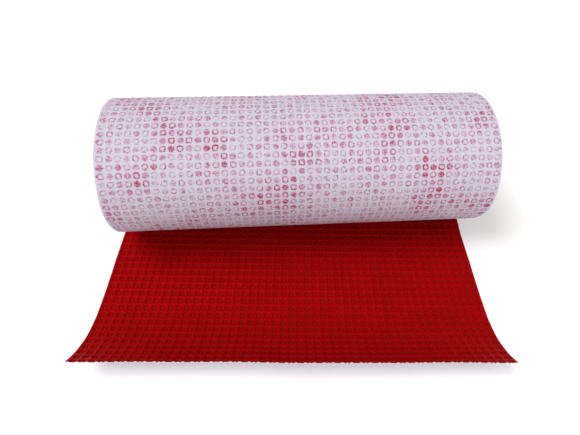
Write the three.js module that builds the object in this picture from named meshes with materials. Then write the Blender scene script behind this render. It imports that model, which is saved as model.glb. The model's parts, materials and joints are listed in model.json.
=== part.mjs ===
// Fabric bolt: a roll of embossed, laminated craft web on a paperboard core.
//
// The roll lies on its side. The web is wound with its red face inward, so the
// outside of the roll shows the pale backing. The free end leaves the bottom of
// the roll, runs out flat with its red face up, and its cut edge curls up.
//
// Millimetres, +Z up. +X runs along the roll's axis and -Y the way the free end
// is pulled out. The origin is the middle of the line where the roll touches
// the surface that it lies on.

import * as THREE from 'three';

// ---- Driving dimensions, mm ------------------------------------------------

const webWidth = 304.8; // a 12 inch web
const webThickness = 1.2; // over the embossing
const layGap = 0.3; // clearance between one lay of the web and the next piece

const rollRadius = 57; // outside of the last wrap, a 4 1/2 inch roll
const coreBore = 38.1; // 1 1/2 inch inside diameter
const coreWall = 3.0;
const coreProud = 1.0; // the core stands out of the web at each end

const tapeThickness = 0.3; // the strip that starts the web on the core
const tapeMargin = 10; // from the end of the strip to the edge of the web
const tapeWidth = 24; // along the winding

const tailLength = 166.95; // free web from the roll's lowest line to the cut edge
const endPanelLength = 15.75; // the last stretch, past the last bend line
const panelCount = 6; // stretches of the tail that bend against each other
const curlRadius = 70.6; // underside of the curled end
const tailShift = -2.8; // the tail leaves the roll this far along X

// ---- Driving angles, radians -----------------------------------------------

const curlAngle = THREE.MathUtils.degToRad(48.1); // how far the cut edge turns up
const tailSkew = THREE.MathUtils.degToRad(-3.8); // the tail is pulled out askew
const foldLimit = THREE.MathUtils.degToRad(20); // most that one bend line folds
const wrapStart = THREE.MathUtils.degToRad(3.3); // where the last wrap meets the tail
const wrapEnd = THREE.MathUtils.degToRad(357); // where it dives under itself

const roundFacets = 96;
const curlStep = THREE.MathUtils.degToRad(3); // most that one facet of the curl turns

// ---- Sizes that follow from them -------------------------------------------

const coreInner = coreBore / 2;
const coreOuter = coreInner + coreWall;
const coreLength = webWidth + 2 * coreProud;

const tapeInner = coreOuter + layGap;
const tapeOuter = tapeInner + tapeThickness;
const tapeHalfAngle = tapeWidth / 2 / tapeInner;
const tapeLength = webWidth - 2 * tapeMargin;

// One turn of the winding takes up the web and the clearance to the next lay.
const wrapPitch = webThickness + layGap;
const wrapInnerEnd = rollRadius - wrapPitch * (wrapEnd / (2 * Math.PI)) - webThickness;
const woundOuter = wrapInnerEnd - layGap;
const woundInner = coreOuter + layGap;
const recessRadius = tapeOuter + layGap;
const recessHalfAngle = tapeHalfAngle + (2 * layGap) / tapeInner;

const flatLength = tailLength - curlRadius * curlAngle;
const hingeSpacing = (tailLength - endPanelLength) / panelCount;
// Room for the corners of two stretches when one folds on the web's middle plane.
const hingeGap = (2 * layGap + webThickness * Math.sin(foldLimit)) / (1 + Math.cos(foldLimit));
const leadBack = (rollRadius - webThickness) * Math.sin(wrapStart) - layGap;

// ---- Materials ---------------------------------------------------------------

function finish(color, roughness) {
  return new THREE.MeshStandardMaterial({ color, roughness, metalness: 0 });
}

const backing = () => finish(0xd6d0de, 0.85);
const redFace = () => finish(0x9c0810, 0.42);
const woundEdge = () => finish(0xcbb4bf, 0.8);
const coreBoard = () => finish(0xb08a5e, 0.9);
const startTape = () => finish(0xd8c69a, 0.5);

const bolt = new THREE.Group();

function addPiece(parent, name, geometry, material) {
  const mesh = new THREE.Mesh(geometry, material);
  mesh.name = name;
  parent.add(mesh);
  return mesh;
}

// ---- Profiles and extrusions along the roll's axis ---------------------------

// Extrudes a profile along X, centred on x = 0. The profile's first coordinate
// runs along -Y and its second along +Z.
function extrudeAcross(shape, width) {
  const geometry = new THREE.ExtrudeGeometry(shape, {
    depth: width,
    bevelEnabled: false,
    curveSegments: 1,
  });
  geometry.translate(0, 0, -width / 2);
  const forward = new THREE.Vector3(0, -1, 0);
  const up = new THREE.Vector3(0, 0, 1);
  const side = new THREE.Vector3(-1, 0, 0);
  geometry.applyMatrix4(new THREE.Matrix4().makeBasis(forward, up, side));
  return geometry;
}

// A point at a radius round the roll's axis. The angle starts at the bottom and
// goes up the back (+Y side), over the top and down the front. That order suits
// an outline, and a hole takes the reverse.
function roundPoint(radius, angle) {
  return new THREE.Vector2(-radius * Math.sin(angle), rollRadius - radius * Math.cos(angle));
}

function arcPoints(radiusAt, from, to) {
  const steps = Math.max(2, Math.ceil((Math.abs(to - from) / (2 * Math.PI)) * roundFacets));
  const points = [];
  for (let i = 0; i <= steps; i++) {
    const angle = from + ((to - from) * i) / steps;
    points.push(roundPoint(radiusAt(angle), angle));
  }
  return points;
}

function circlePoints(radius) {
  return arcPoints(() => radius, 0, 2 * Math.PI).slice(0, -1);
}

// ---- Core: a spiral-wound paperboard tube ------------------------------------

function coreTube() {
  const shape = new THREE.Shape(circlePoints(coreOuter));
  shape.holes.push(new THREE.Path(circlePoints(coreInner).reverse()));
  return extrudeAcross(shape, coreLength);
}

// ---- Start tape: a strip that holds the inner end of the web on the core ------

function tapeStrip() {
  const outside = arcPoints(() => tapeOuter, -tapeHalfAngle, tapeHalfAngle);
  const inside = arcPoints(() => tapeInner, tapeHalfAngle, -tapeHalfAngle);
  return extrudeAcross(new THREE.Shape([...outside, ...inside]), tapeLength);
}

// ---- Wound web: every full turn under the last wrap, as one thick ring ---------

function woundWeb() {
  const shape = new THREE.Shape(circlePoints(woundOuter));
  const recess = arcPoints(() => recessRadius, -recessHalfAngle, recessHalfAngle);
  const bore = arcPoints(() => woundInner, recessHalfAngle, 2 * Math.PI - recessHalfAngle);
  shape.holes.push(new THREE.Path([...recess, ...bore].reverse()));
  return extrudeAcross(shape, webWidth);
}

// ---- Outer wrap: the last turn, a spiral that ends under its own start ---------

function outerWrap() {
  const outer = (angle) => rollRadius - (wrapPitch * angle) / (2 * Math.PI);
  const inner = (angle) => outer(angle) - webThickness;
  const outside = arcPoints(outer, wrapStart, wrapEnd);
  const inside = arcPoints(inner, wrapEnd, wrapStart);
  return extrudeAcross(new THREE.Shape([...outside, ...inside]), webWidth);
}

// ---- Tail: the free end of the web ---------------------------------------------

// Plan position of a point of the flat tail: across the web, and out from the roll.
function tailPlan(across, out) {
  return new THREE.Vector2(
    tailShift + across * Math.cos(tailSkew) + out * Math.sin(tailSkew),
    across * Math.sin(tailSkew) - out * Math.cos(tailSkew),
  );
}

// The lead runs from the roll's lowest line, square to the roll, to the first
// bend line, square to the tail. It stays flat under the roll.
function tailLead() {
  const front = hingeSpacing - hingeGap / 2;
  const shape = new THREE.Shape([
    new THREE.Vector2(webWidth / 2, leadBack),
    new THREE.Vector2(-webWidth / 2, leadBack),
    tailPlan(-webWidth / 2, front),
    tailPlan(webWidth / 2, front),
  ]);
  return new THREE.ExtrudeGeometry(shape, { depth: webThickness, bevelEnabled: false });
}

// Side view of the tail: flat on the surface, then bent up on an arc. height is
// measured from the underside, square to the web.
function tailProfile(out, height) {
  const turn = Math.max(0, out - flatLength) / curlRadius;
  const radius = curlRadius - height;
  return new THREE.Vector2(
    Math.min(out, flatLength) + radius * Math.sin(turn),
    curlRadius - radius * Math.cos(turn),
  );
}

function tailPanel(from, to) {
  const stops = [from];
  if (flatLength > from && flatLength < to) stops.push(flatLength);
  const bendFrom = Math.max(from, flatLength);
  const bend = Math.max(0, to - bendFrom);
  const steps = Math.max(1, Math.ceil(bend / curlRadius / curlStep));
  for (let i = 1; i <= steps; i++) stops.push(bendFrom + (bend * i) / steps);
  if (bend === 0) stops[stops.length - 1] = to;
  const underside = stops.map((out) => tailProfile(out, 0));
  const face = stops.map((out) => tailProfile(out, webThickness)).reverse();
  return extrudeAcross(new THREE.Shape([...underside, ...face]), webWidth);
}

// ---- Assembly --------------------------------------------------------------------

addPiece(bolt, 'core_tube', coreTube(), coreBoard());
addPiece(bolt, 'start_tape', tapeStrip(), startTape());
addPiece(bolt, 'wound_web', woundWeb(), woundEdge());
addPiece(bolt, 'outer_wrap', outerWrap(), backing());
addPiece(bolt, 'tail_lead', tailLead(), redFace());

const tail = new THREE.Group();
tail.position.x = tailShift;
tail.rotation.z = tailSkew;
bolt.add(tail);

for (let i = 1; i <= panelCount; i++) {
  const from = i * hingeSpacing + hingeGap / 2;
  const to = i < panelCount ? (i + 1) * hingeSpacing - hingeGap / 2 : tailLength;
  addPiece(tail, `tail_panel_${i}`, tailPanel(from, to), redFace());
}

export default bolt;
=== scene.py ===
import json
import math

import bpy
import numpy as np
from mathutils import Matrix, Vector


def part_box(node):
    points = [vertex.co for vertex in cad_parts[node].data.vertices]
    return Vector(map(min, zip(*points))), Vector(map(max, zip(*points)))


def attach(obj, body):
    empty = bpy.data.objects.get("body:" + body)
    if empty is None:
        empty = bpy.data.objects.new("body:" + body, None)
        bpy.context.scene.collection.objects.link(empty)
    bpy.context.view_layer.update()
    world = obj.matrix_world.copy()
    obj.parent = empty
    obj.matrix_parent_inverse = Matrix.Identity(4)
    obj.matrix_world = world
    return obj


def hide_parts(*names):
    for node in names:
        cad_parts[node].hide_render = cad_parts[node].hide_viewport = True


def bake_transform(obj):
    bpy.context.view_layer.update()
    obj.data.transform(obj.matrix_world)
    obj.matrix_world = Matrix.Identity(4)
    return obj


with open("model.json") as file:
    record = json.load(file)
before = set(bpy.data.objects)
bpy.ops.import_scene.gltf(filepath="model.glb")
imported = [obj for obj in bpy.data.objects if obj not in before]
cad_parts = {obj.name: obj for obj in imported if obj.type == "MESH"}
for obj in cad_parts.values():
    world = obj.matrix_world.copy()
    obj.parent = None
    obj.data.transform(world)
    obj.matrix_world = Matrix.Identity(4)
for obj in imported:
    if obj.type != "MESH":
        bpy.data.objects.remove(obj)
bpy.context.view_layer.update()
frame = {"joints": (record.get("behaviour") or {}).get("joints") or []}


# ---------------------------------------------------------------------------
# Core tube: brown paperboard wound in a helix and glued, an inch and a half
# inside. It is cut square at both ends, where its plies show, and stands a
# millimetre out of the web.

def mesh_piece(name, points, triangles):
    """A closed mesh object of triangles that face out, from points (n, 3) in metres."""
    points = np.asarray(points, float)
    a, b, c = (points[triangles[:, i]] for i in range(3))
    if np.einsum("ij,ij->", a, np.cross(b, c)) < 0:
        triangles = triangles[:, ::-1]
    mesh = bpy.data.meshes.new(name)
    mesh.vertices.add(len(points))
    mesh.vertices.foreach_set("co", points.astype(np.float32).ravel())
    mesh.loops.add(triangles.size)
    mesh.loops.foreach_set("vertex_index", triangles.astype(np.int32).ravel())
    mesh.polygons.add(len(triangles))
    mesh.polygons.foreach_set("loop_start", np.arange(0, triangles.size, 3, dtype=np.int32))
    mesh.update(calc_edges=True)
    mesh.validate()
    piece = bpy.data.objects.new(name, mesh)
    bpy.context.scene.collection.objects.link(piece)
    return piece


def grid_triangles(rows, columns, close_rows=False, close_columns=False):
    """Two triangles for each cell of a grid of points that is stored row by row."""
    row = np.arange(rows if close_rows else rows - 1)[:, None]
    column = np.arange(columns if close_columns else columns - 1)[None, :]
    next_row, next_column = (row + 1) % rows, (column + 1) % columns
    a, b = row * columns + column, row * columns + next_column
    c, d = next_row * columns + next_column, next_row * columns + column
    quads = np.stack([a, b, c, d], axis=-1).reshape(-1, 4)
    return np.concatenate([quads[:, [0, 1, 2]], quads[:, [0, 2, 3]]])


def smooth_but_creased(piece, angle):
    """Smooth shading, except over edges that turn by more than the angle."""
    piece.data.shade_smooth()
    piece.data.set_sharp_from_angle(angle=angle)


class Wire:
    """The output of a node in a material. Sums of wires and numbers add Math nodes."""

    def __init__(self, tree, socket=None):
        self.tree = tree
        self.socket = socket

    def make(self, kind, settings=None, inputs=None, output=0):
        """Adds a node: its settings first, then the values or wires of its sockets."""
        node = self.tree.nodes.new(kind)
        for key, value in (settings or {}).items():
            if key == "stops":
                ramp = node.color_ramp
                while len(ramp.elements) < len(value):
                    ramp.elements.new(1.0)
                for element, (place, colour) in zip(ramp.elements, value):
                    element.position = place
                    element.color = (*colour, 1.0)
            else:
                setattr(node, key, value)
        for key, value in (inputs or {}).items():
            if isinstance(value, Wire):
                self.tree.links.new(value.socket, node.inputs[key])
            else:
                node.inputs[key].default_value = value
        return Wire(self.tree, node.outputs[output])

    def maths(self, operation, *values):
        inputs = dict(enumerate(values))
        return self.make("ShaderNodeMath", {"operation": operation}, inputs)

    def __add__(self, other):
        return self.maths("ADD", self, other)

    def __sub__(self, other):
        return self.maths("SUBTRACT", self, other)

    def __mul__(self, other):
        return self.maths("MULTIPLY", self, other)

    def __pow__(self, other):
        return self.maths("POWER", self, other)

    def __radd__(self, other):
        return self.maths("ADD", other, self)

    def __rsub__(self, other):
        return self.maths("SUBTRACT", other, self)

    def __rmul__(self, other):
        return self.maths("MULTIPLY", other, self)

    def __abs__(self):
        return self.maths("ABSOLUTE", self)

    def rise(self, low, high):
        """0 under low, 1 over high, and a smooth step between them."""
        inputs = {"Value": self, "From Min": low, "From Max": high}
        return self.make("ShaderNodeMapRange", {"interpolation_type": "SMOOTHSTEP"}, inputs)

    def tint(self, low, high):
        """One colour where this is 0 and another where it is 1."""
        settings = {"data_type": "RGBA", "clamp_factor": True}
        return self.make("ShaderNodeMix", settings, {0: self, 6: low, 7: high}, output=2)


def paint(red, green, blue):
    """A colour as mixed on a screen, 0 to 255, turned into the renderer's linear values."""
    def linear(level):
        level /= 255
        return level / 12.92 if level <= 0.04045 else ((level + 0.055) / 1.055) ** 2.4
    return linear(red), linear(green), linear(blue), 1.0


def new_finish(name, constants):
    """A material with its shader's constants set, a wire to make its nodes from, and the shader."""
    material = bpy.data.materials.new(name)
    material.use_nodes = True
    shader = material.node_tree.nodes["Principled BSDF"]
    for key, value in constants.items():
        shader.inputs[key].default_value = value
    return material, Wire(material.node_tree), shader


def feed(wire, shader, socket):
    wire.tree.links.new(wire.socket, shader.inputs[socket])


def raise_grain(shader, height, distance, strength=1.0):
    """Height wires feed a Bump node, and that feeds Normal. Distance is in metres."""
    inputs = {"Strength": strength, "Distance": distance, "Height": height}
    feed(height.make("ShaderNodeBump", {}, inputs), shader, "Normal")


MM = 0.001
roll_joint = next(joint for joint in frame["joints"] if joint["name"] == "roll_turn")
axis_height = roll_joint["pos_m"][2]
core_low, core_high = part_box("core_tube")
core_half_length = core_high.x
core_outer = (core_high.z - core_low.z) / 2
core_wall = 3.0 * MM
core_inner = core_outer - core_wall
core_chamfer = 0.35 * MM
CORE_SIDES = 128

core_profile = [
    (-core_half_length, core_inner + core_chamfer),
    (-core_half_length, core_outer - core_chamfer),
    (-core_half_length + core_chamfer, core_outer),
    (core_half_length - core_chamfer, core_outer),
    (core_half_length, core_outer - core_chamfer),
    (core_half_length, core_inner + core_chamfer),
    (core_half_length - core_chamfer, core_inner),
    (-core_half_length + core_chamfer, core_inner),
]
core_turn = np.arange(CORE_SIDES) * 2 * math.pi / CORE_SIDES
core_points = np.array([
    [(x, r * math.sin(t), axis_height + r * math.cos(t)) for t in core_turn]
    for x, r in core_profile
]).reshape(-1, 3)
core_triangles = grid_triangles(len(core_profile), CORE_SIDES, True, True)
core_tube = mesh_piece("core_paperboard", core_points, core_triangles)
smooth_but_creased(core_tube, math.radians(30))

BOARD_HELIX = 0.085  # metres along the tube for one turn of the glued strip
BOARD_PLY = 0.0005  # thickness of one ply

board, nodes, shader = new_finish("kraft_board", {"Roughness": 0.86})
place = nodes.make("ShaderNodeTexCoord", output=3)
axes = ("ShaderNodeSeparateXYZ", {}, {0: place})
along, side, up = (nodes.make(*axes, output=i) for i in range(3))
out = up - axis_height
radius = (side * side + out * out) ** 0.5
turn = nodes.maths("ARCTAN2", side, out) * (1 / (2 * math.pi))
helix = abs(nodes.maths("FRACT", along * (1 / BOARD_HELIX) + turn) - 0.5)
seam = helix.rise(0.006, 0.0)
ply = abs(nodes.maths("FRACT", radius * (1 / BOARD_PLY)) - 0.5).rise(0.12, 0.32)
end_face = abs(along).rise(core_half_length - 0.0002, core_half_length - 0.00005)
fibre = nodes.make("ShaderNodeTexNoise", {}, {"Vector": place, "Scale": 900.0, "Detail": 5.0})
blotch = nodes.make("ShaderNodeTexNoise", {}, {"Vector": place, "Scale": 60.0, "Detail": 3.0})
shade = fibre * 0.55 + blotch * 0.45
colour = shade.rise(0.3, 0.7).tint(paint(150, 112, 74), paint(190, 152, 108))
colour = (seam * 0.55).tint(colour, paint(96, 66, 40))
colour = (end_face * ply * 0.5).tint(colour, paint(112, 80, 50))
feed(colour, shader, "Base Color")
raise_grain(shader, fibre * 0.4 - seam * 0.8 - end_face * ply * 0.5, 0.00012)
core_tube.data.materials.append(board)

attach(core_tube, "roll")
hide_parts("core_tube")


# ---------------------------------------------------------------------------
# Start tape: a strip of buff paper tape, stuck over the core along its length.
# It holds the inner end of the web while the roll is wound, and then it is
# covered by the first turn.

tape_low, tape_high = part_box("start_tape")
lay_gap = 0.3 * MM  # air between one lay and the next
tape_thickness = 0.3 * MM
tape_inner = core_outer + lay_gap
tape_outer = tape_inner + tape_thickness
tape_half_angle = math.asin(tape_high.y / tape_outer)
TAPE_STEPS = 24

tape_angles = np.linspace(-tape_half_angle, tape_half_angle, TAPE_STEPS)
tape_x = np.linspace(tape_low.x, tape_high.x, TAPE_STEPS)
tape_ring = [(tape_outer, t) for t in tape_angles] + [(tape_inner, t) for t in tape_angles[::-1]]
tape_points = [
    (x, r * math.sin(t), axis_height - r * math.cos(t)) for x in tape_x for r, t in tape_ring
]
ring_size = len(tape_ring)
tape_side = grid_triangles(TAPE_STEPS, ring_size, close_columns=True)
tape_end = []
for i in range(TAPE_STEPS - 1):
    a, b, c, d = i, i + 1, ring_size - 2 - i, ring_size - 1 - i
    tape_end += [(a, c, b), (a, d, c)]
tape_end = np.array(tape_end)
tape_far_end = tape_end[:, ::-1] + (TAPE_STEPS - 1) * ring_size
start_tape = mesh_piece(
    "start_tape_strip", tape_points, np.concatenate([tape_side, tape_end, tape_far_end])
)
smooth_but_creased(start_tape, math.radians(30))

buff, nodes, shader = new_finish("buff_paper_tape", {"Roughness": 0.55})
place = nodes.make("ShaderNodeTexCoord", output=3)
creping = nodes.make(
    "ShaderNodeTexWave",
    {"bands_direction": "X"},
    {"Vector": place, "Scale": 300.0, "Distortion": 6.0, "Detail": 2.0},
)
feed(creping.tint(paint(206, 182, 132), paint(222, 202, 158)), shader, "Base Color")
raise_grain(shader, creping, 0.00005)
start_tape.data.materials.append(buff)

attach(start_tape, "roll")
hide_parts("start_tape")


# ---------------------------------------------------------------------------
# Wound web: the long stretch of red film on its pale fibrous backing, wound
# face inward on the core, turn over turn. Its cut edges show at both ends of
# the roll, a red line on each white lay, and they don't lie quite flush.

CELL = 6.3 * MM  # one cell of the embossed square grid
COLUMNS = 48
web_half_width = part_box("outer_wrap")[1].x
web_height = 1.2 * MM  # from the lowest point of the backing to the film
lay_pitch = web_height + lay_gap
backing_land = 0.35 * MM  # backing between the cells, over its lowest point


def ripple(values, period, seed):
    """A slow, uneven wave of about 1 either way, the same on every run."""
    turns = 2 * math.pi * values / period
    first_wave = np.sin(turns + seed)
    second_wave = np.sin(2.37 * turns + 2.1 * seed + 1.0)
    third_wave = np.sin(0.61 * turns + 3.3 * seed)
    return 0.45 * first_wave + 0.25 * second_wave + 0.3 * third_wave


def ease(share):
    """A smooth step from 0 to 1."""
    share = np.clip(share, 0, 1)
    return share * share * (3 - 2 * share)


def web_pattern(nodes):
    """Wires for the embossed grid: the cell's number, its kind and places in it."""
    cells = nodes.make("ShaderNodeUVMap", {"uv_map": "web_cells"})
    u, v = (nodes.make("ShaderNodeSeparateXYZ", {}, {0: cells}, output=i) for i in range(2))
    column, row = nodes.maths("FLOOR", u), nodes.maths("FLOOR", v)
    is_square = abs(nodes.maths("MODULO", column + row, 2.0))
    return cells, u, v, column, row, is_square


def round_and_square(across, down):
    """Distance from the cell's middle, measured round and measured squarish."""
    a2, b2 = across * across, down * down
    return (a2 + b2) ** 0.5, (a2 * a2 + b2 * b2) ** 0.25


# The film is a satin red vinyl. It is a little duller where the heated roller
# pressed it down, and its colour is a little darker in the pressed hollows.
# Along the foot of each wall the colour is darkened with painted shade.
red_film, nodes, shader = new_finish(
    "red_satin_film",
    {"Metallic": 0.14, "IOR": 1.07, "Specular Tint": (1.0, 0.2, 0.08, 1.0)},
)
cells, u, v, column, row, is_square = web_pattern(nodes)
round_at, square_at = round_and_square(u - column - 0.5, v - row - 0.5)
dish = round_at.rise(0.36, 0.31)
tray = square_at.rise(0.35, 0.30) * round_at.rise(0.07, 0.14)
pressed = is_square * tray + (1 - is_square) * dish
outline_at = is_square * square_at + (1 - is_square) * round_at
# Mask for the painted shade along the foot of each wall.
painted_foot_shade = outline_at.rise(0.23, 0.30) * outline_at.rise(0.36, 0.32)
cloud = nodes.make("ShaderNodeTexNoise", {}, {"Vector": cells, "Scale": 0.35, "Detail": 3.0})
grain = nodes.make("ShaderNodeTexNoise", {}, {"Vector": cells, "Scale": 14.0, "Detail": 4.0})
colour = cloud.rise(0.3, 0.7).tint(paint(149, 4, 9), paint(157, 4, 10))
# The colour darkens a little in the pressed hollows and with random grain, and most with painted
# shade along the foot of each wall.
colour = (pressed * 0.18 + painted_foot_shade * 0.5 + grain * 0.18).tint(colour, paint(96, 18, 8))
feed(colour, shader, "Base Color")
feed(0.3 + pressed * 0.08 + grain * 0.08, shader, "Roughness")
raise_grain(shader, grain, 0.00003, 0.6)

# The backing is a bonded white cloth. The red shows through it where the web
# was pressed: rings under the trays, mottled discs under the dishes.
backing, nodes, shader = new_finish("white_fibre_backing", {"Roughness": 0.88})
cells, u, v, column, row, is_square = web_pattern(nodes)
bend = nodes.make("ShaderNodeTexNoise", {}, {"Vector": cells, "Scale": 2.2, "Detail": 2.0}, 1)
bend_u, bend_v = (nodes.make("ShaderNodeSeparateXYZ", {}, {0: bend}, output=i) for i in (0, 1))
across = u - column - 0.5 + (bend_u - 0.5) * 0.26
down = v - row - 0.5 + (bend_v - 0.5) * 0.26
round_at, square_at = round_and_square(across, down)
mottle = nodes.make("ShaderNodeTexNoise", {}, {"Vector": cells, "Scale": 5.5, "Detail": 2.5})
stroke = nodes.make("ShaderNodeTexNoise", {}, {"Vector": cells, "Scale": 2.1, "Detail": 1.0})
ring_at = round_at * 0.5 + square_at * 0.5
ring = ring_at.rise(0.15, 0.25) * ring_at.rise(0.45, 0.365)
disc = round_at.rise(0.43, 0.35)
mark = (is_square * ring + (1 - is_square) * disc) * (0.5 + 0.5 * mottle.rise(0.40, 0.62))
cell_number = nodes.make("ShaderNodeCombineXYZ", {}, {0: column, 1: row})
luck = nodes.make(
    "ShaderNodeTexWhiteNoise", {"noise_dimensions": "2D"}, {"Vector": cell_number}
)
drift = nodes.make("ShaderNodeTexNoise", {}, {"Vector": cells, "Scale": 0.16, "Detail": 1.5})
strength = 0.27 + 0.17 * luck + 0.52 * drift.rise(0.45, 0.78) * luck ** 0.5
strength = strength * (0.68 + 0.64 * stroke.rise(0.3, 0.7))
bleed = mark * strength * (0.9 + 0.9 * mottle.rise(0.5, 0.72) * strength)
lint = nodes.make("ShaderNodeTexNoise", {}, {"Vector": cells, "Scale": 22.0, "Detail": 6.0})
thread_places = nodes.make(
    "ShaderNodeMapping", {}, {"Vector": cells, "Scale": (1.2, 14.0, 1.0)}
)
threads = nodes.make("ShaderNodeTexNoise", {}, {"Vector": thread_places, "Scale": 1.6})
cloth = (lint * 0.6 + threads * 0.4).rise(0.32, 0.68)
cloth_colour = cloth.tint(paint(183, 182, 193), paint(195, 195, 204))
haze = (drift.rise(0.4, 0.75) * 0.24 + stroke * 0.16).tint(cloth_colour, paint(200, 156, 190))
ink = bleed.make(
    "ShaderNodeValToRGB",
    {"stops": [
        (0.0, paint(184, 156, 190)[:3]),
        (0.3, paint(170, 122, 158)[:3]),
        (0.55, paint(154, 80, 98)[:3]),
        (0.8, paint(144, 34, 14)[:3]),
    ]},
    {"Fac": bleed},
)
colour = bleed.rise(0.02, 0.34).tint(haze, ink)
feed(colour, shader, "Base Color")
raise_grain(shader, lint * 0.7 + threads * 0.3 - mark * 0.25, 0.00012, 0.8)

# A cut edge shows the white fibres, with the film as a thin red line on top.
cut_edge, nodes, shader = new_finish("web_cut_edge", {"Roughness": 0.8, "IOR": 1.3})
cells = nodes.make("ShaderNodeUVMap", {"uv_map": "web_cells"})
depth = nodes.make("ShaderNodeAttribute", {"attribute_name": "web_depth"}, output=2)
fray = nodes.make("ShaderNodeTexNoise", {}, {"Vector": cells, "Scale": 9.0, "Detail": 4.0})
film_line = (depth + (fray - 0.5) * 0.25).rise(0.25, 0.38)
fibres = fray.rise(0.3, 0.7).tint(paint(205, 192, 204), paint(232, 226, 232))
feed(film_line.tint(fibres, paint(132, 4, 9)), shader, "Base Color")
raise_grain(shader, fray, 0.0001)


def open_edges(triangles):
    """The edges that only one triangle uses, in that triangle's direction."""
    edges = np.concatenate([triangles[:, [0, 1]], triangles[:, [1, 2]], triangles[:, [2, 0]]])
    size = triangles.max() + 1
    ahead, back = edges[:, 0] * size + edges[:, 1], edges[:, 1] * size + edges[:, 0]
    return edges[~np.isin(ahead, back)]


def crease(piece, edges):
    """Makes these edges, given as pairs of points, sharp under smooth shading."""
    mesh = piece.data
    size = len(mesh.vertices)
    pairs = np.empty(len(mesh.edges) * 2, np.int32)
    mesh.edges.foreach_get("vertices", pairs)
    pairs = np.sort(pairs.reshape(-1, 2), axis=1).astype(np.int64)
    wanted = np.sort(edges, axis=1).astype(np.int64)
    sharp = np.isin(pairs[:, 0] * size + pairs[:, 1], wanted[:, 0] * size + wanted[:, 1])
    attribute = mesh.attributes.new("sharp_edge", "BOOLEAN", "EDGE")
    attribute.data.foreach_set("value", sharp)


def corner_map(piece, name, places):
    """A UV map from one place for each corner of each triangle, (n, 3, 2)."""
    layer = piece.data.uv_layers.new(name=name)
    layer.data.foreach_set("uv", np.ascontiguousarray(places, np.float32).ravel())


def web_sheet(name, film, back, partner, cells, bake_places):
    """A closed sheet of web. film and back are each (points, triangles), facing the
    same way, and walls join film's open edges to their partners on the back. cells
    holds each point's place in the embossed grid. bake_places lays out the corners
    of the film, back and wall triangles on a flat square."""
    film_points, film_triangles = film
    back_points, back_triangles = back
    count = len(film_points)
    rim = open_edges(film_triangles)
    far_rim = partner[rim] + count
    walls = np.concatenate([
        np.stack([rim[:, 1], rim[:, 0], far_rim[:, 0]], axis=-1),
        np.stack([rim[:, 1], far_rim[:, 0], far_rim[:, 1]], axis=-1),
    ])
    points = np.concatenate([film_points, back_points])
    triangles = np.concatenate([film_triangles, back_triangles[:, ::-1] + count, walls])
    kinds = np.repeat([0, 1, 2], [len(film_triangles), len(back_triangles), len(walls)])
    piece = mesh_piece(name, points, triangles)

    mesh = piece.data
    for material in (red_film, backing, cut_edge):
        mesh.materials.append(material)
    mesh.polygons.foreach_set("material_index", kinds.astype(np.int32))
    mesh.polygons.foreach_set("use_smooth", np.ones(len(kinds), bool))
    crease(piece, np.concatenate([rim, far_rim]))

    depth = np.concatenate([np.ones(count), np.zeros(len(back_points))])
    attribute = mesh.attributes.new("web_depth", "FLOAT", "POINT")
    attribute.data.foreach_set("value", depth.astype(np.float32))
    corners = np.empty(len(mesh.loops), np.int32)
    mesh.loops.foreach_get("vertex_index", corners)
    corners = corners.reshape(-1, 3)
    corner_map(piece, "web_cells", cells[corners])
    corner_map(piece, "OFBake", bake_places(corners, kinds, depth))
    return piece


WOUND_TURNS = 20
STEPS_IN_TURN = 232
ROUND_TURNS = 6  # turns, from the outside, before the spiral is even
STEP_IN = 0.2  # share of a turn over which a round turn steps in
edge_wave = 0.16 * MM  # how far the embossing bends a cut edge in and out
edge_slip = 0.45 * MM  # how far a turn stands out of its neighbours

wound_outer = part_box("wound_web")[1].z - axis_height
wound_step = np.arange(WOUND_TURNS * STEPS_IN_TURN + 1)
wound_angle = wound_step * 2 * math.pi / STEPS_IN_TURN
wound_turn = wound_step / STEPS_IN_TURN
# The outer turns are nearly round and step in towards their end. Further in they
# settle into an even spiral.
part_turn = wound_turn % 1
lag = part_turn - ease((part_turn - 1 + STEP_IN) / STEP_IN)
roundness = np.maximum(0, 1 - wound_turn / ROUND_TURNS)
wound_radius = wound_outer - lay_pitch * (wound_turn - lag * roundness)
wound_along = np.cumsum(wound_radius) * 2 * math.pi / STEPS_IN_TURN
wave = edge_wave * np.sin(math.pi * wound_along / CELL)
wave += 0.6 * edge_wave * ripple(wound_along, period=3.1 * CELL, seed=0.7)
slip = edge_slip * ripple(wound_along, period=0.41, seed=1.9)
slip += 0.6 * edge_slip * ripple(wound_along, period=0.083, seed=4.2)
ACROSS = np.array([-1.0, -0.99, -0.6, 0.6, 0.99, 1.0])  # stations, in half widths
WAVINESS = np.array([1.0, 0.8, 0.0, 0.0, 0.8, 1.0])  # the edges are wavy, the middle isn't
wave_room = 1.6 * edge_wave  # keeps the waves inside the winding's outer radius


def wound_side(inward):
    """Points of one side of the wound web, this far inside its outer radius."""
    x = ACROSS * web_half_width + slip[:, None]
    radius = (wound_radius - wave_room)[:, None] + wave[:, None] * WAVINESS - inward
    y = radius * np.sin(wound_angle)[:, None]
    z = axis_height - radius * np.cos(wound_angle)[:, None]
    return np.stack([x, y, z], axis=-1).reshape(-1, 3)


def inset(share):
    """Keeps a small margin free at both ends of a flat layout."""
    margin = 0.02
    return margin + (1 - 2 * margin) * share


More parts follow.
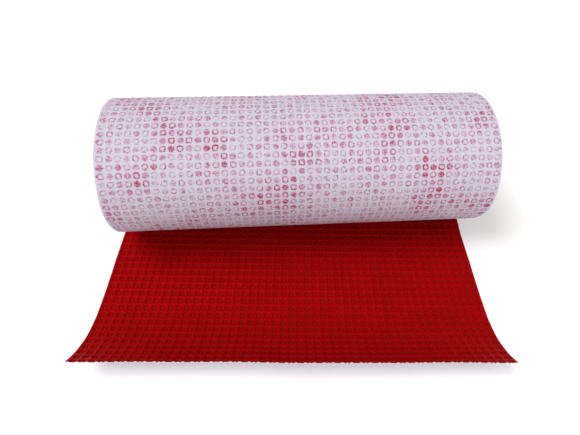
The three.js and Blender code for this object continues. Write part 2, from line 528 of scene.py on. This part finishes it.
def wound_bake(corners, kinds, depth):
    """Each turn's two cut edges get a long strip, and the hidden sides a small one."""
    edges_from, edge_pitch, edge_height = 0.01, 0.018, 0.014
    sides_from, side_pitch, side_height = 0.76, 0.11, 0.1
    stations = len(ACROSS)
    step = (corners % (len(wound_step) * stations)) // stations
    station = corners % stations
    turn = np.minimum(step.min(axis=1) // STEPS_IN_TURN, WOUND_TURNS - 1)[:, None]
    strip = 2 * turn + (station > stations / 2)
    edge_u = inset(step / STEPS_IN_TURN - turn)
    edge_v = edges_from + edge_pitch * strip + edge_height * depth[corners]
    side_u = inset(step / len(wound_step))
    side_v = sides_from + side_pitch * kinds[:, None] + side_height * station / stations
    is_edge = kinds[:, None] == 2
    return np.stack([np.where(is_edge, edge_u, side_u), np.where(is_edge, edge_v, side_v)], -1)


wound_triangles = grid_triangles(len(wound_step), len(ACROSS))
wound_count = len(wound_step) * len(ACROSS)
wound_cells = np.stack([
    np.tile((ACROSS + 1) * COLUMNS / 2, len(wound_step)),
    np.repeat(wound_along / CELL, len(ACROSS)),
], axis=-1)
wound_web = web_sheet(
    "wound_web_turns",
    (wound_side(web_height - backing_land), wound_triangles),
    (wound_side(0.0), wound_triangles),
    np.arange(wound_count),
    np.concatenate([wound_cells, wound_cells]),
    wound_bake,
)

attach(wound_web, "roll")
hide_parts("wound_web")


# ---------------------------------------------------------------------------
# Outer wrap: the last turn of the web, backing outward. The heated roller that
# pressed the film into a grid of round dishes and square trays leaves a low
# swelling on the backing behind each one.

SPOKES = 16
film_relief = 0.75 * MM
backing_relief = 0.30 * MM

# Rings of a pressed cell, from its middle outward: size and exponent of the outline
# (2 is a circle, more is squarer) and how far it is pressed. The first is the middle.
DISH = [(0, 2, 0.80), (0.16, 2, 0.88), (0.27, 2, 1.0), (0.305, 2, 0.86), (0.335, 2, 0.36),
        (0.37, 2, 0.03)]
TRAY = [(0, 2, 0.16), (0.06, 2, 0.26), (0.115, 2, 0.68), (0.17, 2.4, 0.96), (0.27, 4, 1.0),
        (0.30, 5, 0.84), (0.33, 6, 0.34), (0.365, 6, 0.03)]
SWOLLEN_DISH = [(0, 2, 1.0), (0.30, 2, 0.85)]
SWOLLEN_TRAY = [(0, 2, 0.55), (0.30, 4, 0.85)]
FLAT_CELL = [(0, 2, 0.0)]
CORNER_SAG = 0.10  # how far the land sags where four cells meet, as a share
HAIR = 0.001  # a distance in the grid too small to matter, in cells


def cell_template(rings):
    """Points (across, down, press) and triangles of one cell, and its rim's points."""
    angle = 2 * math.pi * np.arange(SPOKES) / SPOKES
    cos, sin = np.cos(angle), np.sin(angle)
    points = [(0.0, 0.0, rings[0][2])]
    for size, power, press in rings[1:]:
        reach = size / (np.abs(cos) ** power + np.abs(sin) ** power) ** (1 / power)
        points += list(zip(reach * cos, reach * sin, [press] * SPOKES))
    reach = 0.5 / np.maximum(np.abs(cos), np.abs(sin))
    sag = np.where(np.abs(np.abs(cos) - np.abs(sin)) < 1e-6, CORNER_SAG, 0.0)
    points += list(zip(reach * cos, reach * sin, sag))
    around = np.arange(SPOKES)
    ahead = (around + 1) % SPOKES
    triangles = [np.stack([np.zeros(SPOKES, int), 1 + around, 1 + ahead], axis=-1)]
    for ring in range(len(rings) - 1):
        low, high = 1 + ring * SPOKES, 1 + (ring + 1) * SPOKES
        triangles.append(np.stack([low + around, high + around, high + ahead], axis=-1))
        triangles.append(np.stack([low + around, high + ahead, low + ahead], axis=-1))
    return np.array(points), np.concatenate(triangles)


def grid_keys(points):
    """A whole number for each place in the grid, equal where two places coincide."""
    keys = np.round(points[:, :2] * 10_000).astype(np.int64)
    return keys[:, 0] * 10_000_000 + keys[:, 1]


def pressed_grid(first_row, last_row, round_rings, square_rings):
    """Points (column, row, press) and triangles of the grid between two rows. A last
    row that ends on a half cuts its cells through the middle."""
    templates = [cell_template(round_rings), cell_template(square_rings)]
    points, triangles, total = [], [], 0
    for row in range(int(first_row), math.ceil(last_row)):
        for column in range(COLUMNS):
            shape, faces = templates[(column + row) % 2]
            points.append(shape + (column + 0.5, row + 0.5, 0.0))
            triangles.append(faces + total)
            total += len(shape)
    points, triangles = np.concatenate(points), np.concatenate(triangles)
    _, one_of_each, same = np.unique(grid_keys(points), return_index=True, return_inverse=True)
    points, triangles = points[one_of_each], same.reshape(-1)[triangles]
    kept = (points[triangles][:, :, 1] < last_row + HAIR).all(axis=1)
    used, triangles = np.unique(triangles[kept], return_inverse=True)
    return points[used], triangles.reshape(-1, 3)


def partners(film_grid, back_grid):
    """For each film point, the backing point at the same place, where there is one."""
    back_keys = grid_keys(back_grid)
    order = np.argsort(back_keys)
    places = np.searchsorted(back_keys[order], grid_keys(film_grid))
    return order[np.minimum(places, len(order) - 1)]


def band_bake(cells, first_row, last_row, film_bands, back_bands):
    """Lays each side out in bands of equal width, one above the other, and the four
    walls in strips over them. A band is its lowest and highest place."""
    walls_from, wall_pitch, wall_height = 0.94, 0.014, 0.011

    def places(corners, kinds, depth):
        flat = cells[corners]
        middle = flat.mean(axis=1)
        down = (flat[:, :, 1] - first_row) / (last_row - first_row)
        result = np.empty(flat.shape)
        for kind, bands in ((0, film_bands), (1, back_bands)):
            width = COLUMNS / len(bands)
            band = np.minimum((middle[:, 0] // width).astype(int), len(bands) - 1)
            low, high = np.array(bands)[band].T
            across = (flat[:, :, 0] - (band * width)[:, None]) / width
            chosen = kinds == kind
            result[chosen, :, 0] = inset(across)[chosen]
            result[chosen, :, 1] = (low[:, None] + (high - low)[:, None] * down)[chosen]
        left, right = middle[:, 0] < HAIR, middle[:, 0] > COLUMNS - HAIR
        start = middle[:, 1] < first_row + HAIR
        strip = np.select([left, right, start], [0, 1, 2], 3)
        share = np.where((strip < 2)[:, None], down, flat[:, :, 0] / COLUMNS)
        wall = kinds == 2
        height = walls_from + wall_pitch * strip[:, None] + wall_height * depth[corners]
        result[wall, :, 0] = inset(share)[wall]
        result[wall, :, 1] = height[wall]
        return result

    return places


hinges = [joint for joint in frame["joints"] if joint["name"] != "roll_turn"]
tail_side = -Vector(hinges[0]["axis"])  # along the tail's bend lines
tail_out = Vector((tail_side.y, -tail_side.x, 0))  # the way the tail is pulled out
first_hinge = Vector(hinges[0]["pos_m"])
tail_start = first_hinge - tail_out * first_hinge.dot(tail_out)
TAIL_ROWS = 26.5
tail_length = TAIL_ROWS * CELL
curl_radius = 70.6 * MM
curl_angle = math.radians(48.1)
flat_length = tail_length - curl_radius * curl_angle
LEAD_ROWS = 6  # the web swings round to the tail's direction over these rows
wrap_slip = -1.4 * MM  # the last wrap has slid this far along the roll by its end
SLIP_FROM, SLIP_TO = math.radians(162), math.radians(120)
wrap_wave = 0.12 * MM  # unevenness of the last wrap
tail_wave = 0.2 * MM  # how far the free end lifts off flat, here and there
side_wave = 0.2 * MM  # unevenness of the slit sides
curl_spread = 0.02  # how unevenly the end curls across the web, as a share


def on_roll(across, behind, height):
    """Points of the last wrap, this far behind the roll's lowest line along the web."""
    loss = lay_pitch / (2 * math.pi)
    angle = (axis_height - np.sqrt(axis_height ** 2 - 2 * loss * behind)) / loss
    radius = axis_height - loss * angle - height
    unevenness = ripple(behind + 0.4 * across, period=0.11, seed=2.2)
    radius += wrap_wave * unevenness * ease(behind / 0.03)
    x = across + wrap_slip * ease((SLIP_FROM - angle) / (SLIP_FROM - SLIP_TO))
    return np.stack([x, radius * np.sin(angle), axis_height - radius * np.cos(angle)], axis=-1)


def on_tail(across, ahead, height):
    """Points of the free end, this far ahead of the roll's lowest line along the web."""
    turned = np.maximum(0, ahead - flat_length) / curl_radius
    turned = turned * (1 + curl_spread * ripple(across, period=0.17, seed=0.4))
    radius = curl_radius - height
    out = np.minimum(ahead, flat_length) + radius * np.sin(turned)
    z = curl_radius - radius * np.cos(turned)
    unevenness = 1 + ripple(across + 0.5 * ahead, period=0.13, seed=1.3)
    z = z + tail_wave * unevenness * ease(ahead / 0.05)
    square_x, square_y = across + wrap_slip, -out
    askew_x = tail_start.x + across * tail_side.x + out * tail_out.x
    askew_y = tail_start.y + across * tail_side.y + out * tail_out.y
    swing = ease(ahead / (LEAD_ROWS * CELL))
    x = square_x + (askew_x - square_x) * swing
    y = square_y + (askew_y - square_y) * swing
    return np.stack([x, y, z], axis=-1)


def place_web(grid, height):
    """Points of the last wrap and the free end from places in the embossed grid."""
    along = grid[:, 1] * CELL
    share = grid[:, 0] / COLUMNS * 2 - 1
    across = np.clip(share * COLUMNS * CELL / 2, -web_half_width, web_half_width)
    edge = web_half_width + side_wave * ripple(along, period=0.047, seed=5.1)
    is_side = np.abs(share) > 1 - HAIR / COLUMNS
    across = np.where(is_side, np.sign(share) * edge, across)
    behind = on_roll(across, np.maximum(0, -along), height)
    ahead = on_tail(across, np.maximum(0, along), height)
    return np.where((along < 0)[:, None], behind, ahead)


def embossed_piece(name, first_row, last_row, film_rings, back_rings, film_bands, back_bands):
    """A stretch of the embossed web between two rows."""
    film_grid, film_triangles = pressed_grid(first_row, last_row, *film_rings)
    back_grid, back_triangles = pressed_grid(first_row, last_row, *back_rings)
    film_height = web_height - film_relief * film_grid[:, 2]
    back_height = backing_land - backing_relief * back_grid[:, 2]
    cells = np.concatenate([film_grid[:, :2], back_grid[:, :2]])
    return web_sheet(
        name,
        (place_web(film_grid, film_height), film_triangles[:, ::-1]),
        (place_web(back_grid, back_height), back_triangles[:, ::-1]),
        partners(film_grid, back_grid),
        cells,
        band_bake(cells, first_row, last_row, film_bands, back_bands),
    )


WRAP_ROWS = 55
outer_wrap = embossed_piece(
    "outer_wrap_web",
    -WRAP_ROWS,
    0,
    (FLAT_CELL, FLAT_CELL),
    (SWOLLEN_DISH, SWOLLEN_TRAY),
    [(0.88, 0.93)],
    [(0.01, 0.87)],
)

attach(outer_wrap, "web")
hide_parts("outer_wrap")


# ---------------------------------------------------------------------------
# Tail: the free end of the web, pulled out from under the roll with its red
# face up. It lies flat, and its cut end has kept the curl of the roll. It is
# built in stretches, each over the rows round one of the tail's six bend lines.

ROWS_IN_STRETCH = 4
HINGE_ROWS = 2  # rows on each side of a bend line that bend with it
tail_film_bands = [(0.01, 0.31), (0.32, 0.62)]
tail_back_bands = [(0.63, 0.77), (0.78, 0.92)]

for number, hinge in enumerate(hinges, start=1):
    hinge_row = number * ROWS_IN_STRETCH
    first_row = 0 if number == 1 else hinge_row - HINGE_ROWS
    last_row = TAIL_ROWS if number == len(hinges) else hinge_row + HINGE_ROWS
    stretch = embossed_piece(
        f"tail_web_{number}",
        first_row,
        last_row,
        (DISH, TRAY),
        (DISH, TRAY),
        tail_film_bands,
        tail_back_bands,
    )
    hinge_turn = max(0, hinge_row * CELL - flat_length) / curl_radius
    ahead = tail_out * math.cos(hinge_turn) + Vector((0, 0, math.sin(hinge_turn)))
    ahead *= HINGE_ROWS * CELL
    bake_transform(stretch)
    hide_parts(f"tail_panel_{number}")
    if number == 1:
        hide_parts("tail_lead")


# ---------------------------------------------------------------------------
# Stage: a pale round floor that sweeps up at its rim, a soft lamp high on the
# left, a broad one over the camera that fills the shadows, and the camera.

FLAT_TO, SWEEP, SWEEP_SIDES = 2.6, 0.9, 96  # metres, metres, and facets round it
sweep_turn = np.linspace(0, math.pi / 2, 16)
floor_profile = [(0.001, 0.0)] + [
    (FLAT_TO + SWEEP * math.sin(t), SWEEP * (1 - math.cos(t))) for t in sweep_turn
]
floor_turn = np.arange(SWEEP_SIDES) * 2 * math.pi / SWEEP_SIDES
floor_points = np.array([
    [(r * math.cos(t), r * math.sin(t), z) for t in floor_turn] for r, z in floor_profile
]).reshape(-1, 3)
floor = mesh_piece(
    "floor", floor_points, grid_triangles(len(floor_profile), SWEEP_SIDES, close_columns=True)
)
floor.data.shade_smooth()
pale_floor = {"Roughness": 0.9, "Base Color": (0.95, 0.95, 0.95, 1.0)}
pale, _, _ = new_finish("pale_floor", pale_floor)
floor.data.materials.append(pale)

bpy.context.scene.view_settings.view_transform = "Standard"
world = bpy.data.worlds.new("studio")
world.use_nodes = True
sky = world.node_tree.nodes["Background"]
sky.inputs["Color"].default_value = (1.0, 1.0, 1.0, 1.0)
sky.inputs["Strength"].default_value = 0.6
bpy.context.scene.world = world


def add_lamp(name, kind, towards, distance, energy, colour, **settings):
    """A lamp in this direction and at this distance from the origin, which it faces."""
    lamp = bpy.data.lights.new(name, kind)
    lamp.energy = energy
    lamp.color = colour
    for key, value in settings.items():
        setattr(lamp, key, value)
    holder = bpy.data.objects.new(name, lamp)
    direction = Vector(towards).normalized()
    holder.location = direction * distance
    holder.rotation_euler = direction.to_track_quat("Z", "Y").to_euler()
    bpy.context.scene.collection.objects.link(holder)


add_lamp("key_lamp", "SUN", (-0.57, 0.05, 1.0), 2.0, 1.81, (1.0, 0.99, 0.97),
         angle=math.radians(32))
add_lamp("fill_lamp", "AREA", (0.1, -1.0, 0.9), 2.2, 14.0, (1.0, 1.0, 1.0),
         shape="DISK", size=1.6)

# The camera's place is in roll radii from the middle of the roll's lowest line.
EYE = (-0.4758, -4.61, 5.5638)
eye_yaw, eye_pitch, eye_tilt = math.radians(6.64), math.radians(47.08), math.radians(-3.085)
forward = Vector((
    math.sin(eye_yaw) * math.cos(eye_pitch),
    math.cos(eye_yaw) * math.cos(eye_pitch),
    -math.sin(eye_pitch),
))
level = Vector((math.cos(eye_yaw), -math.sin(eye_yaw), 0))
below = forward.cross(level)
right = level * math.cos(eye_tilt) + below * math.sin(eye_tilt)
down = below * math.cos(eye_tilt) - level * math.sin(eye_tilt)

lens = bpy.data.cameras.new("camera")
lens.sensor_width = 36.0
lens.lens = 26.33
lens.shift_x = -0.0230
lens.shift_y = -0.0654
lens.clip_start = 0.01
camera = bpy.data.objects.new("camera", lens)
camera.matrix_world = Matrix.Translation(Vector(EYE) * axis_height) @ Matrix((
    (right.x, -down.x, -forward.x),
    (right.y, -down.y, -forward.y),
    (right.z, -down.z, -forward.z),
)).to_4x4()
bpy.context.scene.collection.objects.link(camera)
bpy.context.scene.camera = camera
